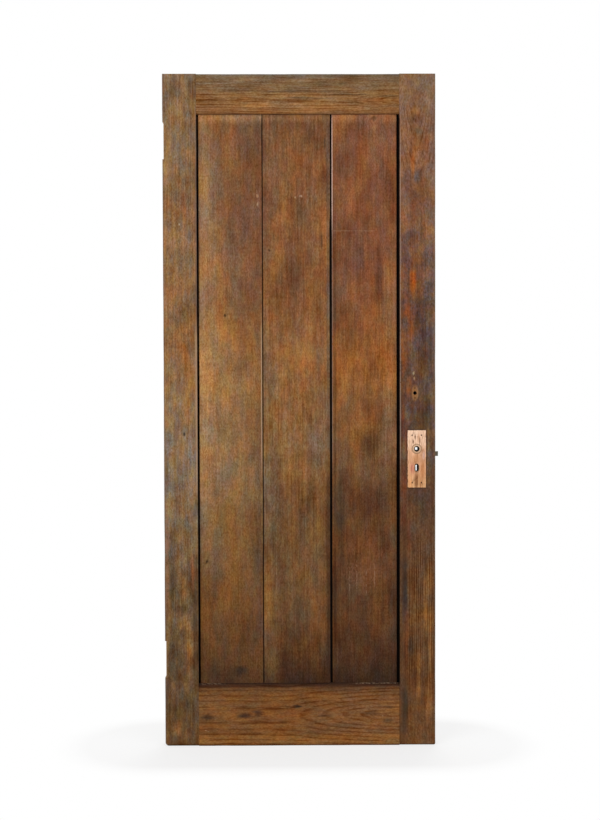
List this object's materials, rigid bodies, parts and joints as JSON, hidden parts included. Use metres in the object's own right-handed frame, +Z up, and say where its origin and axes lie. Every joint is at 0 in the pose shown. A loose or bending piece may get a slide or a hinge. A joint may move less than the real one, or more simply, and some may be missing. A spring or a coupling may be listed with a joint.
{
  "type": "framed and boarded door leaf",
  "caption": "Rectangular oak door leaf: stiles and rails round a recessed panel of vertical boards, with hinge gains and a mortise lock with sprung latch.",
  "frame": {"origin": "middle of the leaf's lower edge, at half its width and half its thickness", "axes": "+Z up, +X towards the lock edge, front face towards -Y"},
  "size_m": [0.83, 0.044, 2.03],
  "materials": {
    "stile_oak": "old brown stain, worn and dull",
    "rail_oak": "old brown stain, worn and dull",
    "board_oak": "old brown stain, darker at the foot",
    "end_grain_oak": "stained end grain",
    "lock_iron": "dull, dark",
    "aged_steel": "tarnished",
    "bolt_steel": "rubbed, grey",
    "spring_steel": "blued and dull",
    "screw_steel": "tarnished"
  },
  "bodies": {
    "leaf": {"hinge_stile": "stile_oak", "lock_stile": "stile_oak", "top_rail": "rail_oak", "bottom_rail": "rail_oak", "bottom_wedges": "end_grain_oak", "top_wedges": "end_grain_oak", "board_left": "board_oak", "board_middle": "board_oak", "board_right": "board_oak", "lock_case": "lock_iron", "lock_cap": "lock_iron", "cap_screws": "screw_steel", "lock_forend": "aged_steel", "forend_screws": "screw_steel", "latch_spring": "spring_steel", "rack_bolt_body": "aged_steel", "rack_bolt_screws": "screw_steel"},
    "spindle_follower": {"follower": "lock_iron"},
    "latch": {"latch_bolt": "bolt_steel"},
    "key_bolt": {"dead_bolt": "bolt_steel", "bolt_spring": "spring_steel"},
    "sliding_rack_bolt": {"rack_bolt": "bolt_steel"}
  },
  "joints": [
    {"name": "follower_turn", "type": "hinge", "parent": "leaf", "child": "spindle_follower", "pos_m": [0.354, 0, 0.902], "axis": [0, 1, 0], "range_deg": [0, 39.5]},
    {"name": "latch_slide", "type": "slide", "parent": "leaf", "child": "latch", "axis": [-1, 0, 0], "range_m": [0, 0.01069], "stiffness_N_per_m": 400, "springref_m": -0.008, "deforming": ["latch_spring"]},
    {"name": "dead_bolt_slide", "type": "slide", "parent": "leaf", "child": "key_bolt", "axis": [1, 0, 0], "range_m": [0, 0.014]},
    {"name": "rack_bolt_slide", "type": "slide", "parent": "leaf", "child": "sliding_rack_bolt", "axis": [1, 0, 0], "range_m": [0, 0.016]}
  ],
  "couplings": [
    {"joint": "follower_turn", "follows": "latch_slide", "rad_per_m": 64.516}
  ]
}
